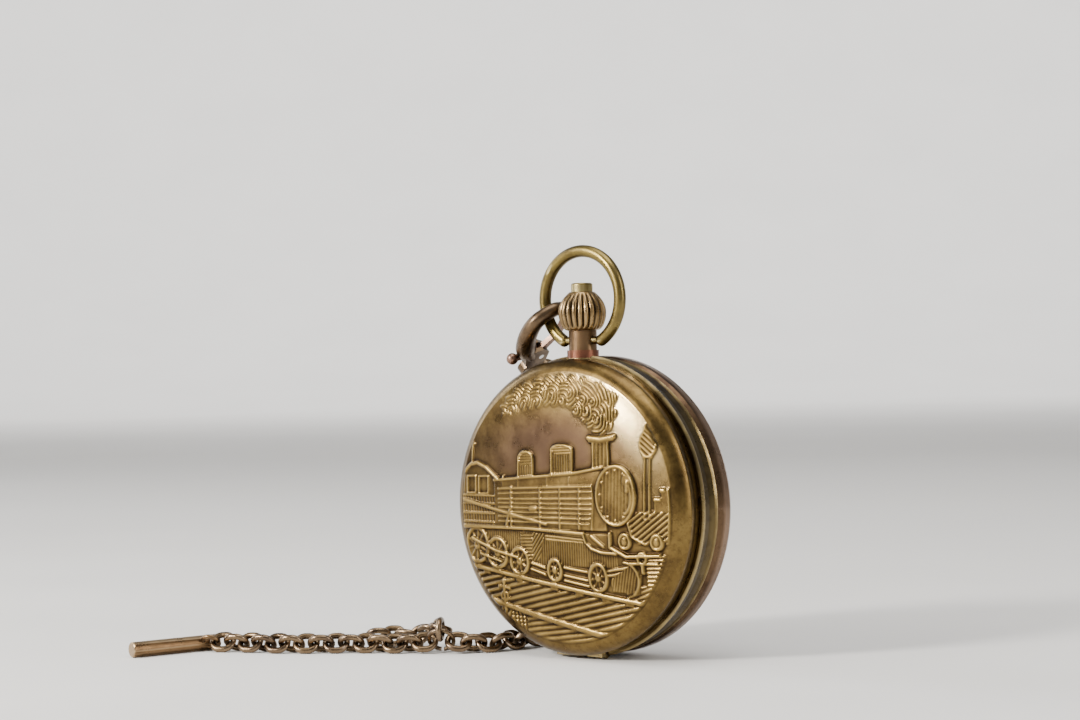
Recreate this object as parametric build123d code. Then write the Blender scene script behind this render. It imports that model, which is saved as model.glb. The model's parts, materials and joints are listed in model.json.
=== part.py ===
from build123d import *
from math import asin, cos, degrees, radians, sin
import os

# Hunter-case pocket watch with its chain, in millimetres.
# The watch stands on its rim: +X is to the right seen from the front, the lid
# faces -Y and +Z is up.  The origin is where the case stands, under the lid
# hinge; y = 0 is the seam between the lid and the case band.

# ---- driving dimensions: case -------------------------------------------
CASE_R = 23.5            # rim radius, a 47 mm case
LID_R = 23.0             # lid's widest radius, at its shoulder
LID_FRONT = 5.6          # lid's dome in front of the seam
LID_SHOULDER = 2.3
LID_NECK_R = 22.6        # lid's edge, undercut behind the shoulder
SHELL = 0.8              # thickness of the lid and of the back
SEAM = 0.05              # half the gap between lid and band
BAND_END = 4.2           # seam between the band and the back cover
BAND_R = 22.95
BAND_BORE = 20.8
COLLAR_R = 21.2          # forward collar of the band, inside the lid
COLLAR_BORE = 20.0
COLLAR_FRONT = -1.8
BACK_RIM = 23.4
BACK_END = 9.4
BACK_FLAT_R = 15.0
CASE_Z = CASE_R          # height of the case's axis

# ---- driving dimensions: pendant, crown, bow ----------------------------
PENDANT_Y = 1.2
COLLAR_Z = CASE_Z + 23.1
NECK_Z = CASE_Z + 24.3
NECK_TOP = CASE_Z + 27.35
NECK_R = 2.2
CROWN_Z = CASE_Z + 30.4
CROWN_R = 3.75
CROWN_HALF = 3.0
BUTTON_R = 1.7
BUTTON_TOP = CASE_Z + 34.8
BUTTON_TRAVEL = 0.8
STEM_R = 0.8
BOW_R = 7.5              # centreline radius of the bow
BOW_WIRE = 0.95          # radius of the bow's wire
BOW_Z = CASE_Z + 32.3
BOW_GAP = 30.0           # degrees from straight down to each end
BOW_PIN_R = 0.6
BOW_PIVOT_Z = BOW_Z - BOW_R * cos(radians(BOW_GAP))
BOW_END_X = BOW_R * sin(radians(BOW_GAP))

# ---- driving dimensions: clasp and chain --------------------------------
HOOK_ANGLE = 66.0        # where the clasp hangs on the bow, from straight down
CLASP_DROP = 48.0        # the clasp's slant from straight down
CLASP_LEAN = 22.0        # the clasp's tilt to the back of the watch
CLASP_WIRE = 1.05        # radius of the claw
CLASP_THICK = 2.4
LEVER_THICK = 0.8
RING_R = 2.0             # centreline radius of the jump rings
RING_WIRE = 0.34         # radius of a jump ring's wire
LINK_WIRE = 0.5          # radius of a link's wire
LINK_LONG = 3.5          # a link's centreline length and width
LINK_WIDE = 2.9
LINK_PLAY = 0.06         # play between two links, and between a link and a ring
RING_PLAY = 0.1
PITCH = LINK_LONG - 2 * LINK_WIRE - LINK_PLAY
FLOOR_LIFT = 1.545       # height of a link that lies tilted on the floor
BAR_R = 1.25             # toggle bar
BAR_LONG = 11.5
BAR_SHORT = 4.0

os.makedirs("parts", exist_ok=True)


# ---- vectors --------------------------------------------------------------
def direction(heading, rise=0.0):
    """Unit vector with a heading from +X and a rise from level, in degrees."""
    h, r = radians(heading), radians(rise)
    return Vector(cos(h) * cos(r), sin(h) * cos(r), sin(r))


def about_case(shape):
    """A shape turned about Y at z = 0, lifted to the case's axis."""
    return Pos(0, 0, CASE_Z) * shape


def turned(points):
    """Solid of revolution about Y: points are (radius, y)."""
    face = make_face(Polyline(*points, close=True))
    return about_case(revolve(face, Axis.Y, 360))


def disc(radius, y0, y1, x=0.0, z=0.0):
    """Cylinder along Y from y0 to y1; x and z count from the case's axis."""
    face = Plane.XZ * Pos(x, z) * Circle(radius)
    return Pos(0, y0, CASE_Z) * extrude(face, y1 - y0, dir=(0, 1, 0))


def post(radius, z0, z1, x=0.0, y=PENDANT_Y):
    """Upright cylinder from height z0 to z1."""
    return Pos(x, y, z0) * extrude(Circle(radius), z1 - z0)


def block(x0, x1, y0, y1, z0, z1):
    return Pos((x0 + x1) / 2, (y0 + y1) / 2, (z0 + z1) / 2) * Box(x1 - x0, y1 - y0, z1 - z0)


def rod_x(radius, x0, x1, y, z):
    face = Plane.YZ * Pos(y, z) * Circle(radius)
    return Pos(x0, 0, 0) * extrude(face, x1 - x0, dir=(1, 0, 0))


# ---- lid hinge ------------------------------------------------------------
HINGE_R = 0.75
HINGE_HALF = 4.5
KNUCKLE_HALF = 1.5
HINGE_PIN_R = 0.3
SIDE_GAP = 0.06
WEB = 1.3                # how far a knuckle's web reaches from the hinge axis


def knuckle(x0, x1, side):
    """Barrel piece with its web, on the lid's side (-1) or the band's (+1)."""
    barrel = rod_x(HINGE_R, x0, x1, 0, HINGE_R)
    y0, y1 = sorted((0.3 * side, WEB * side))
    web = block(x0, x1, y0, y1, 0.25, 1.9)
    return barrel + web - rod_x(HINGE_PIN_R + 0.04, x0 - 1, x1 + 1, 0, HINGE_R)


def hinge_room(side):
    """Space that the whole barrel needs in the rim of the lid or the band."""
    y0, y1 = sorted((-0.5 * side, 0.95 * side))
    return block(-HINGE_HALF - 0.1, HINGE_HALF + 0.1, y0, y1, -1, 2 * HINGE_R + 0.2)


# ---- case shells ----------------------------------------------------------
def front_cover():
    outer = [
        (0, -LID_FRONT), (8, -LID_FRONT + 0.1), (14, -LID_FRONT + 0.35), (19, -LID_FRONT + 0.8),
        (21.4, -LID_FRONT + 1.35), (22.5, -3.4), (LID_R, -LID_SHOULDER), (22.85, -1.5),
        (LID_NECK_R, -1.0), (LID_NECK_R, -SEAM),
    ]
    inner = [
        (LID_NECK_R - 0.95, -SEAM), (LID_NECK_R - 0.95, -2.4), (20.6, -3.45), (18.6, -LID_FRONT + 1.65),
        (14, -LID_FRONT + 1.2), (8, -LID_FRONT + 0.9), (0, -LID_FRONT + SHELL),
    ]
    lid = turned(outer + inner)
    lid -= hinge_room(-1)
    lid += knuckle(-HINGE_HALF, -KNUCKLE_HALF - SIDE_GAP, -1)
    lid += knuckle(KNUCKLE_HALF + SIDE_GAP, HINGE_HALF, -1)
    return lid


def case_band():
    band = turned([
        (CASE_R - 0.4, SEAM), (CASE_R, 0.3), (CASE_R - 0.1, 0.6), (BAND_R, 1.0), (BAND_R - 0.12, 2.3),
        (BAND_R, 3.6), (BAND_R + 0.2, BAND_END - 0.15), (BAND_R + 0.15, BAND_END), (BAND_BORE, BAND_END),
        (BAND_BORE, 0.1), (COLLAR_BORE, 0.1), (COLLAR_BORE, COLLAR_FRONT),
        (COLLAR_R, COLLAR_FRONT), (COLLAR_R, SEAM),
    ])
    boss = post(2.45, CASE_Z + 22.0, COLLAR_Z)
    boss -= block(-4, 4, -4, SEAM, 0, CASE_Z + 22.85)
    band += boss
    band -= post(2.6, COLLAR_Z, COLLAR_Z + 1)
    band -= post(STEM_R + 0.1, CASE_Z + 19, COLLAR_Z + 1)
    band -= hinge_room(1)
    band += knuckle(-KNUCKLE_HALF, KNUCKLE_HALF, 1)
    return band


def back_cover():
    cover = turned([
        (BAND_R + 0.1, BAND_END), (BAND_R - 0.15, BAND_END + 0.35), (BACK_RIM - 0.1, 5.1), (BACK_RIM, 5.8),
        (BACK_RIM - 0.05, 6.9), (23.0, 7.6), (22.0, 8.3), (19.5, 8.95), (BACK_FLAT_R, BACK_END),
        (0, BACK_END), (0, BACK_END - SHELL), (BACK_FLAT_R, BACK_END - SHELL), (19.2, 8.1),
        (BAND_BORE - 0.1, 7.7), (BAND_BORE - 0.1, 5.0), (BAND_BORE + 0.1, 5.0), (BAND_BORE + 0.1, BAND_END),
    ])
    lip = turned([(19.9, 5.0), (BAND_BORE - 0.1, 5.0), (BAND_BORE - 0.1, 7.9), (19.9, 8.1)])
    return cover + lip


# ---- glass, dial and movement --------------------------------------------
BEZEL_BACK = COLLAR_FRONT
CRYSTAL_BACK = -2.3
CRYSTAL_R = 19.2
DIAL_FRONT = -0.9
DIAL_BACK = -0.5
HOLDER_END = 5.0
PLATE_R = 12.9


def bezel():
    return turned([
        (18.4, BEZEL_BACK), (COLLAR_R, BEZEL_BACK), (COLLAR_R, -2.1), (20.5, -2.6), (19.8, -3.2),
        (CRYSTAL_R + 0.05, -3.2), (CRYSTAL_R + 0.05, CRYSTAL_BACK), (18.4, CRYSTAL_BACK),
    ])


def crystal():
    return turned([
        (0, CRYSTAL_BACK), (CRYSTAL_R, CRYSTAL_BACK), (CRYSTAL_R, -3.0), (15, -3.4), (9, -3.75),
        (4, -3.87), (0, -3.9),
    ])


def dial():
    plate = disc(19.9, DIAL_FRONT, DIAL_BACK)
    return plate - disc(0.95, DIAL_FRONT - 1, DIAL_BACK + 1)


def movement_holder():
    ring = turned([
        (PLATE_R + 0.1, DIAL_BACK), (COLLAR_BORE - 0.05, DIAL_BACK), (COLLAR_BORE - 0.05, 0.1),
        (BAND_BORE - 0.05, 0.1), (BAND_BORE - 0.05, HOLDER_END), (PLATE_R + 0.1, HOLDER_END),
    ])
    return ring - post(STEM_R + 0.1, CASE_Z + 10, CASE_Z + 22)


PLATE_BACK = 0.3
ROTOR_X, ROTOR_Z = 7.0, 4.0
BRIDGE_FRONT = 4.2


def movement_plate():
    plate = disc(PLATE_R, DIAL_BACK, PLATE_BACK)
    plate -= disc(0.95, DIAL_BACK - 1, PLATE_BACK + 1)
    plate -= disc(0.3, DIAL_BACK - 1, PLATE_BACK + 1, ROTOR_X, ROTOR_Z)
    return plate


def movement_bridge():
    bridge = disc(PLATE_R, BRIDGE_FRONT, 4.7)
    for i in range(3):
        a = radians(30 + 120 * i)
        bridge += disc(0.8, PLATE_BACK, BRIDGE_FRONT, 11.4 * cos(a), 11.4 * sin(a))
    bridge -= disc(0.3, 3.8, 5.0, ROTOR_X, ROTOR_Z)
    return bridge


def battery():
    return disc(3.4, PLATE_BACK, PLATE_BACK + 2.6, -6.2, -5.4)


def drive_coil():
    y = PLATE_BACK + 1.2
    z = CASE_Z - 6.0
    coil = rod_x(1.1, 2.2, 9.8, y, z)
    for x in (1.4, 9.6):
        coil += block(x, x + 1.0, PLATE_BACK, y + 1.2, z - 1.4, z + 1.4)
    return coil


def step_rotor():
    rotor = disc(1.3, 1.2, 2.6, ROTOR_X, ROTOR_Z)
    rotor += disc(0.24, 0.0, 4.5, ROTOR_X, ROTOR_Z)
    return rotor


def spring_arc():
    """Flat spring behind the holder that throws the lid open."""
    ring = disc(18.2, HOLDER_END, 5.8) - disc(17.5, HOLDER_END - 1, 6.8)
    keep = about_case(block(-19, 19, 4, 7, 6, 19))
    return ring & keep


# hand name: length, tail, hub radius, tube radius, tube bore, y of the hand, wheel y, wheel radius
HANDS = {
    "hour_hand": (9.5, 0.0, 1.5, 0.85, 0.56, -1.25, 0.7, 3.2),
    "minute_hand": (15.0, 0.0, 1.1, 0.5, 0.27, -1.6, 1.3, 3.0),
    "second_hand": (16.5, 4.0, 0.8, 0.22, 0.0, -1.93, 1.9, 2.8),
}
HAND_THICK = 0.12
HAND_TURN = {"hour_hand": 55.0, "minute_hand": -60.0, "second_hand": 180.0}


def clock_hand(name):
    """A hand with its tube and wheel; it points up before it is turned."""
    length, tail, hub, tube, bore, y, wheel_y, wheel_r = HANDS[name]
    half = 0.18 if name == "second_hand" else 0.6
    blade = Polyline((-half, 0), (-half * 0.5, length * 0.8), (0, length), (half * 0.5, length * 0.8),
                     (half, 0), (half * 0.6, -tail - 0.2), (-half * 0.6, -tail - 0.2), close=True)
    hand = Pos(0, y, 0) * extrude(Plane.XZ * make_face(blade), HAND_THICK, dir=(0, 1, 0))
    axis_down = Pos(0, 0, -CASE_Z)
    hand += axis_down * disc(hub, y, y + HAND_THICK)
    hand += axis_down * disc(tube, y, wheel_y + 0.2)
    hand += axis_down * disc(wheel_r, wheel_y, wheel_y + 0.2)
    if bore:
        hand -= axis_down * disc(bore, y - 1, wheel_y + 2)
    return about_case(Rot(0, HAND_TURN[name], 0) * hand)


# ---- pendant, crown, button and bow ---------------------------------------
def pendant_collar():
    return post(2.5, COLLAR_Z, NECK_Z) - post(STEM_R + 0.1, COLLAR_Z - 1, NECK_Z + 1)


def pendant_neck():
    neck = post(NECK_R, NECK_Z, NECK_TOP) - post(STEM_R + 0.1, NECK_Z - 1, NECK_TOP + 1)
    for side in (-1, 1):
        x0, x1 = sorted((1.25 * side, 3.0 * side))
        neck -= rod_x(BOW_PIN_R + 0.05, x0, x1, PENDANT_Y, BOW_PIVOT_Z)
    return neck


def upright_turned(points):
    """Solid of revolution about the pendant's axis: points are (radius, z)."""
    face = make_face(Plane.XZ * Polyline(*points, close=True))
    return Pos(0, PENDANT_Y, 0) * revolve(face, Axis.Z, 360)


SOCKET_Z = CROWN_Z - 0.2
STEM_TOP = CROWN_Z - 0.9


def crown():
    low, high = CROWN_Z - CROWN_HALF + 0.05, CROWN_Z + CROWN_HALF
    body = upright_turned([
        (0, low), (2.5, low), (3.0, low + 0.35), (3.5, low + 1.2), (CROWN_R, CROWN_Z - 0.4),
        (CROWN_R, CROWN_Z + 0.3), (3.6, CROWN_Z + 1.2), (3.2, CROWN_Z + 2.0), (2.5, high - 0.35),
        (2.1, high), (0, high),
    ])
    body -= post(BUTTON_R + 0.05, SOCKET_Z, high + 1)
    body -= post(STEM_R + 0.05, low - 1, STEM_TOP + 0.05)
    return body


def push_button():
    button = post(BUTTON_R, SOCKET_Z + BUTTON_TRAVEL + 0.1, BUTTON_TOP)
    return fillet(button.edges().group_by(Axis.Z)[-1], 0.35)


def winding_stem():
    return post(STEM_R, CASE_Z + 11, STEM_TOP)


def bow():
    section = Plane.YZ * Pos(0, -BOW_R) * Circle(BOW_WIRE)
    ring = revolve(Rot(0, -BOW_GAP, 0) * section, Axis.Y, -(360 - 2 * BOW_GAP))
    ring = Pos(0, PENDANT_Y, BOW_Z) * ring
    for side in (-1, 1):
        ring += Pos(side * BOW_END_X, PENDANT_Y, BOW_PIVOT_Z) * Sphere(BOW_WIRE)
        x0, x1 = sorted((1.35 * side, BOW_END_X * side))
        ring += rod_x(BOW_PIN_R, x0, x1, PENDANT_Y, BOW_PIVOT_Z)
    return ring


# ---- clasp ----------------------------------------------------------------
# The clasp's own frame: s runs from the hook to its eye, v from the claw to the
# gate, and the bow's wire passes through s = v = 0 across that plane.
HOOK = Vector(-BOW_R * sin(radians(HOOK_ANGLE)), PENDANT_Y, BOW_Z - BOW_R * cos(radians(HOOK_ANGLE)))
OUTWARD = Vector(-sin(radians(CLASP_DROP)), 0, -cos(radians(CLASP_DROP)))
BACKWARD = Vector(0, 1, 0)
CLASP_S = OUTWARD * cos(radians(CLASP_LEAN)) + BACKWARD * sin(radians(CLASP_LEAN))
CLASP_V = BACKWARD * cos(radians(CLASP_LEAN)) - OUTWARD * sin(radians(CLASP_LEAN))
CLASP_W = CLASP_S.cross(CLASP_V)
CLASP = Plane(origin=HOOK, x_dir=CLASP_S, z_dir=CLASP_W)
PIVOT_S, PIVOT_V = 8.2, 0.6
EYE_S = 11.9
EYE_R = 0.75


def clasp_body():
    claw_path = Spline((8.2, -1.0), (6.0, -2.35), (2.5, -3.0), (-0.7, -2.4), (-2.35, 0.2), (-1.5, 2.7),
                       (0.6, 3.5))
    start = Plane(origin=claw_path @ 0, z_dir=claw_path % 0)
    claw = sweep(start * Circle(CLASP_WIRE), path=claw_path)
    shoulder = Polyline((6.6, -2.9), (6.3, 0.4), (7.4, 1.9), (9.2, 1.9), (10.6, 1.2), (10.6, -1.2),
                        (9.4, -2.2), close=True)
    body = extrude(make_face(shoulder), CLASP_THICK / 2, both=True)
    body += claw
    body += extrude(Pos(EYE_S, 0) * Circle(EYE_R + 0.9), 0.7, both=True)
    body -= extrude(Pos(EYE_S, 0) * Circle(EYE_R), 3, both=True)
    slot = Polyline((4.9, -1.2), (4.9, 3.2), (9.6, 3.2), (9.6, -6.5), (7.0, -6.5), (7.0, -1.2), close=True)
    body -= extrude(make_face(slot), LEVER_THICK / 2 + 0.1, both=True)
    body -= extrude(Pos(PIVOT_S, PIVOT_V) * Circle(0.45), 3, both=True)
    tip = Polyline((-0.3, 1.9), (-0.3, 5.2), (2.4, 5.2), (2.4, 1.9), close=True)
    body -= extrude(make_face(tip) - Pos(-0.1, 3.3) * Circle(1.3), 3, both=True)
    return CLASP * body


def clasp_lever():
    gate = Polyline((PIVOT_S + 0.7, PIVOT_V), (PIVOT_S - 0.4, PIVOT_V + 1.2), (4.6, 3.85), (1.35, 4.05),
                    (1.35, 3.0), (4.4, 2.9), (PIVOT_S - 0.9, PIVOT_V - 0.3), (7.6, -4.2), (8.4, -4.2),
                    close=True)
    lever = extrude(make_face(gate), LEVER_THICK / 2, both=True)
    lever += Pos(8.0, -4.5, 0) * Sphere(0.95)
    lever -= extrude(Pos(PIVOT_S, PIVOT_V) * Circle(0.5), 3, both=True)
    return CLASP * lever


def clasp_pin():
    pin = extrude(Pos(PIVOT_S, PIVOT_V) * Circle(0.45), CLASP_THICK / 2, both=True)
    return CLASP * pin


def clasp_eye_point():
    return CLASP.from_local_coords(Vector(EYE_S, 0, 0))


# ---- chain ----------------------------------------------------------------
def torus_ring(radius, wire, gap=0.0):
    """Wire ring in the local XY plane, with an optional cut on its -Y side."""
    face = Plane.XZ * Pos(radius, 0) * Circle(wire)
    if not gap:
        return revolve(face, Axis.Z, 360)
    return Rot(0, 0, -90 + gap / 2) * revolve(face, Axis.Z, 360 - gap)


def link_shape():
    """Oval link: length along X, width along Y."""
    bend = LINK_WIDE / 2
    straight = LINK_LONG / 2 - bend
    half = Plane.XZ * Pos(bend, 0) * Circle(LINK_WIRE)
    arch = Rot(0, 0, -90) * revolve(half, Axis.Z, 180)
    link = Pos(straight, 0, 0) * arch + Pos(-straight, 0, 0) * Rot(0, 0, 180) * arch
    for y in (-bend, bend):
        side = Plane.YZ * Pos(y, 0) * Circle(LINK_WIRE)
        link += Pos(-straight, 0, 0) * extrude(side, 2 * straight, dir=(1, 0, 0))
    return link


LINK = link_shape()


class Strand:
    """Links laid end to end: each step is one pitch along a heading and a rise."""

    def __init__(self, start, across, tilt):
        self.point = start
        self.across = across
        self.tilt = tilt
        self.links = []

    def step(self, heading, rise=0.0, tilt=None):
        u = direction(heading, rise)
        level = (self.across - u * self.across.dot(u)).normalized()
        lifted = u.cross(level)
        t = radians(self.tilt if tilt is None else tilt)
        width = level * cos(t) + lifted * sin(t)
        centre = self.point + u * (PITCH / 2)
        self.links.append((centre, u, width))
        self.point = self.point + u * PITCH
        self.across = level
        self.tilt = -self.tilt


def placed_link(spot):
    centre, u, width = spot
    return Plane(origin=centre, x_dir=u, z_dir=u.cross(width)) * LINK


# The clasp's ring hangs from the clasp's eye, and the chain from the ring.
EYE = clasp_eye_point()
REACH = RING_R - RING_WIRE - RING_PLAY - LINK_WIRE   # ring centre to a link's end wire
BACK_OFF = (LINK_LONG - PITCH) / 2                   # end wire to the step's start point
RING_DROP = direction(100, -2)
RING_CENTRE = EYE + RING_DROP * (RING_R + EYE_R - RING_WIRE - 0.27)
HANG_START = RING_CENTRE + RING_DROP * (REACH + BACK_OFF)


def clasp_ring():
    side = RING_DROP.cross(CLASP_W).normalized()
    plane = Plane(origin=RING_CENTRE, x_dir=RING_DROP, z_dir=side)
    return plane * torus_ring(RING_R, RING_WIRE)


# Over the back's rim, straight down behind the watch, then level on the floor.
OVER = [-12, -30, -48, -68]
LANDING = [-70, -50, -32, -14]
BEHIND = 100             # heading away from the back of the watch


def hanging_strand():
    """The landing takes one more link, at the slope that makes the drop come out."""
    strand = Strand(HANG_START, direction(BEHIND - 90), -45.0)
    for rise in OVER:
        strand.step(BEHIND, rise)
    landing = sum(PITCH * -sin(radians(rise)) for rise in LANDING)
    drop = strand.point.Z - FLOOR_LIFT - landing
    whole = int(drop / PITCH)
    spare = -degrees(asin(drop / PITCH - whole))
    for _ in range(whole):
        strand.step(BEHIND, -89.9)
    for rise in sorted(LANDING + [spare]):
        strand.step(BEHIND + 180, rise)
    return strand


HANGING = hanging_strand()
WATCH_SIDE_TURN = [-90, -92, -95, -104, -118, -134, -147]
LAST_RISE = {5: 3.0, 6: 6.5}


def watch_strand():
    strand = Strand(HANGING.point, HANGING.across, HANGING.tilt)
    for i, heading in enumerate(WATCH_SIDE_TURN):
        strand.step(heading, LAST_RISE.get(i, 0.0))
    return strand


WATCH_SIDE = watch_strand()

# The centre ring stands on its edge; three strands of links meet on it.
RING_LEAN = 36.0
CENTRE_HEADING = -150.0
RING_ALONG = direction(CENTRE_HEADING)
RING_SIDE = direction(CENTRE_HEADING + 90)
RING_UP = RING_SIDE * sin(radians(RING_LEAN)) + Vector(0, 0, 1) * cos(radians(RING_LEAN))


def ring_radial(angle):
    """Direction from the centre ring's middle: 0 is along the bar's strand, 90 is up."""
    return RING_ALONG * cos(radians(angle)) + RING_UP * sin(radians(angle))


ENTRY = 190.0            # where the watch's strand holds the ring
BAR_EXIT = -12.0         # where the bar's strand leaves it
DROP_EXIT = 90.0         # where the short drop chain leaves it
LAST_U = WATCH_SIDE.links[-1][1]
RING_MIDDLE = WATCH_SIDE.point + LAST_U * BACK_OFF - ring_radial(ENTRY) * REACH


def centre_ring():
    plane = Plane(origin=RING_MIDDLE, x_dir=RING_ALONG, z_dir=RING_ALONG.cross(RING_UP))
    return plane * torus_ring(RING_R, RING_WIRE, 14)


def leave_ring(angle, u):
    """Start point of a strand whose first link holds the ring's wire from inside."""
    wire = RING_MIDDLE + ring_radial(angle) * RING_R
    return wire - u * (RING_WIRE + RING_PLAY + LINK_WIRE - BACK_OFF)


BAR_LINKS = 15
BAR_START_END = 1.7      # height where the bar's first link ends
# heading, rise and tilt of each link of the drop chain, from the ring outwards
DROP_STEPS = [
    (123, 5, -90), (139, -8, 18), (155, -15, -72), (171, -15, 36),
    (187, -15, -54), (195, 0, 36), (211, 0, -54), (222, 0, 46),
]


def bar_strand():
    """From the ring down to the floor, then a gentle S that turns to the toggle bar."""
    headings = [-146 - 7 * sin(radians(40 * i)) - 0.7 * i for i in range(BAR_LINKS)]
    strand = Strand(leave_ring(BAR_EXIT, direction(headings[0])), direction(headings[0] + 90), -45.0)
    ends = [BAR_START_END] + [FLOOR_LIFT] * (BAR_LINKS - 1)
    for heading, end in zip(headings, ends):
        strand.across = direction(heading + 90)
        strand.step(heading, degrees(asin((end - strand.point.Z) / PITCH)))
    return strand


def drop_strand():
    heading, rise, tilt = DROP_STEPS[0]
    strand = Strand(leave_ring(DROP_EXIT, direction(heading, rise)), direction(heading + 90), tilt)
    for heading, rise, tilt in DROP_STEPS:
        strand.across = direction(heading + 90)
        strand.step(heading, rise, tilt)
    return strand


BAR_SIDE = bar_strand()
DROP = drop_strand()

# ---- toggle bar -------------------------------------------------------------
# A short ring joins the last link to the bar's own loop.
BAR_HEADING = -104.0     # the bar's long arm
BAR_AXIS = direction(BAR_HEADING)
BAR_LOOP_R = 1.35
BAR_LOOP_WIRE = 0.38
LAST_BAR_U = BAR_SIDE.links[-1][1]
LAST_WIDTH = BAR_SIDE.links[-1][2]
LOOP_MIDDLE = BAR_SIDE.point + LAST_BAR_U * (BACK_OFF - LINK_WIRE - RING_PLAY - BAR_LOOP_WIRE + BAR_LOOP_R)
BAR_MIDDLE = LOOP_MIDDLE + LAST_BAR_U * (BAR_LOOP_R + BAR_R)
BAR_MIDDLE = Vector(BAR_MIDDLE.X, BAR_MIDDLE.Y, BAR_R + 0.02)


def t_bar():
    start = BAR_MIDDLE - BAR_AXIS * BAR_SHORT
    rod = Plane(origin=start, z_dir=BAR_AXIS) * extrude(Circle(BAR_R), BAR_SHORT + BAR_LONG)
    rod = chamfer(rod.edges(), 0.15)
    plane = Plane(origin=LOOP_MIDDLE, x_dir=LAST_BAR_U, z_dir=LAST_WIDTH)
    return rod + plane * torus_ring(BAR_LOOP_R, BAR_LOOP_WIRE)


# ---- nodes --------------------------------------------------------------------
PARTS = {
    "case_band": case_band(),
    "front_cover": front_cover(),
    "back_cover": back_cover(),
    "lid_hinge_pin": rod_x(HINGE_PIN_R, -HINGE_HALF, HINGE_HALF, 0, HINGE_R),
    "bezel": bezel(),
    "crystal": crystal(),
    "dial": dial(),
    "movement_holder": movement_holder(),
    "movement_plate": movement_plate(),
    "movement_bridge": movement_bridge(),
    "battery": battery(),
    "drive_coil": drive_coil(),
    "step_rotor": step_rotor(),
    "lid_spring": spring_arc(),
    "pendant_collar": pendant_collar(),
    "pendant_neck": pendant_neck(),
    "crown": crown(),
    "push_button": push_button(),
    "winding_stem": winding_stem(),
    "bow": bow(),
    "clasp_body": clasp_body(),
    "clasp_lever": clasp_lever(),
    "clasp_pin": clasp_pin(),
    "clasp_ring": clasp_ring(),
    "centre_ring": centre_ring(),
    "t_bar": t_bar(),
}
for name in HANDS:
    PARTS[name] = clock_hand(name)

# Links behind the watch share a node in short runs; each visible link is a node.
HIDDEN_ON_FLOOR = 2
HIDDEN = HANGING.links + WATCH_SIDE.links[:HIDDEN_ON_FLOOR]
RUN = 8
for i in range(0, len(HIDDEN), RUN):
    PARTS[f"hanging_links_{i // RUN + 1}"] = Compound([placed_link(s) for s in HIDDEN[i:i + RUN]])
STRANDS = {
    "watch_link": WATCH_SIDE.links[HIDDEN_ON_FLOOR:],
    "bar_link": BAR_SIDE.links,
    "drop_link": DROP.links,
}
for stem, links in STRANDS.items():
    for i, spot in enumerate(links):
        PARTS[f"{stem}_{i + 1:02d}"] = placed_link(spot)


for name, shape in PARTS.items():
    export_step(shape, f"parts/{name}.step")
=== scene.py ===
import json
import math
import bpy
import numpy as np
from mathutils import Matrix, Vector


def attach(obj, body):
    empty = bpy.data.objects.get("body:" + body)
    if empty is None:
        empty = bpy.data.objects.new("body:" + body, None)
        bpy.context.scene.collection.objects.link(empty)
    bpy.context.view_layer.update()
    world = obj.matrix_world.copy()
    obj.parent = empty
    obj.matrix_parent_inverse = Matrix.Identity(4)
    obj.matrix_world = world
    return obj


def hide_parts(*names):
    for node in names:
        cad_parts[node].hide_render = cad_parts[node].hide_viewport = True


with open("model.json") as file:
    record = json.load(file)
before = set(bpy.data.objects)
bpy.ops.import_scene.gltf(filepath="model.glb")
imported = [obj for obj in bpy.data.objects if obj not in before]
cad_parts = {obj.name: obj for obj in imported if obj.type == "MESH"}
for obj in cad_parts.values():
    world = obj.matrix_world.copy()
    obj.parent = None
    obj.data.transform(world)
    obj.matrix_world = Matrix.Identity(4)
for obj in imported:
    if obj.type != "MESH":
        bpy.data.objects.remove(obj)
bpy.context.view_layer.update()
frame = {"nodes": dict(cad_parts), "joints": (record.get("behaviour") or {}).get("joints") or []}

MM = 0.001
NODES = frame["nodes"]


# ---- camera -----------------------------------------------------------------
CAMERA_TURN = math.radians(40)
CAMERA_ROLL = math.radians(-1.2)
CAMERA_AWAY = 0.350
CAMERA_ASIDE = -0.006
CAMERA_HEIGHT = 0.0464
FOCAL_MM = 74.8


def make_camera():
    """Level view from 40 degrees to the right of the lid's front, about as high as the case's top."""
    right = Vector((math.cos(CAMERA_TURN), math.sin(CAMERA_TURN), 0))
    forward = Vector((-math.sin(CAMERA_TURN), math.cos(CAMERA_TURN), 0))
    up = Vector((0, 0, 1))
    place = forward * -CAMERA_AWAY + right * CAMERA_ASIDE + up * CAMERA_HEIGHT
    rolled_right = right * math.cos(CAMERA_ROLL) + up * math.sin(CAMERA_ROLL)
    rolled_up = up * math.cos(CAMERA_ROLL) - right * math.sin(CAMERA_ROLL)
    data = bpy.data.cameras.new("camera")
    data.sensor_width = 36.0
    data.lens = FOCAL_MM
    data.clip_start = 0.01
    data.clip_end = 50.0
    cam = bpy.data.objects.new("camera", data)
    rows = (rolled_right, rolled_up, -forward)
    turned = [[rows[c][r] for c in range(3)] + [place[r]] for r in range(3)]
    cam.matrix_world = Matrix(turned + [[0, 0, 0, 1]])
    bpy.context.scene.collection.objects.link(cam)
    bpy.context.scene.camera = cam


make_camera()


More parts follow.
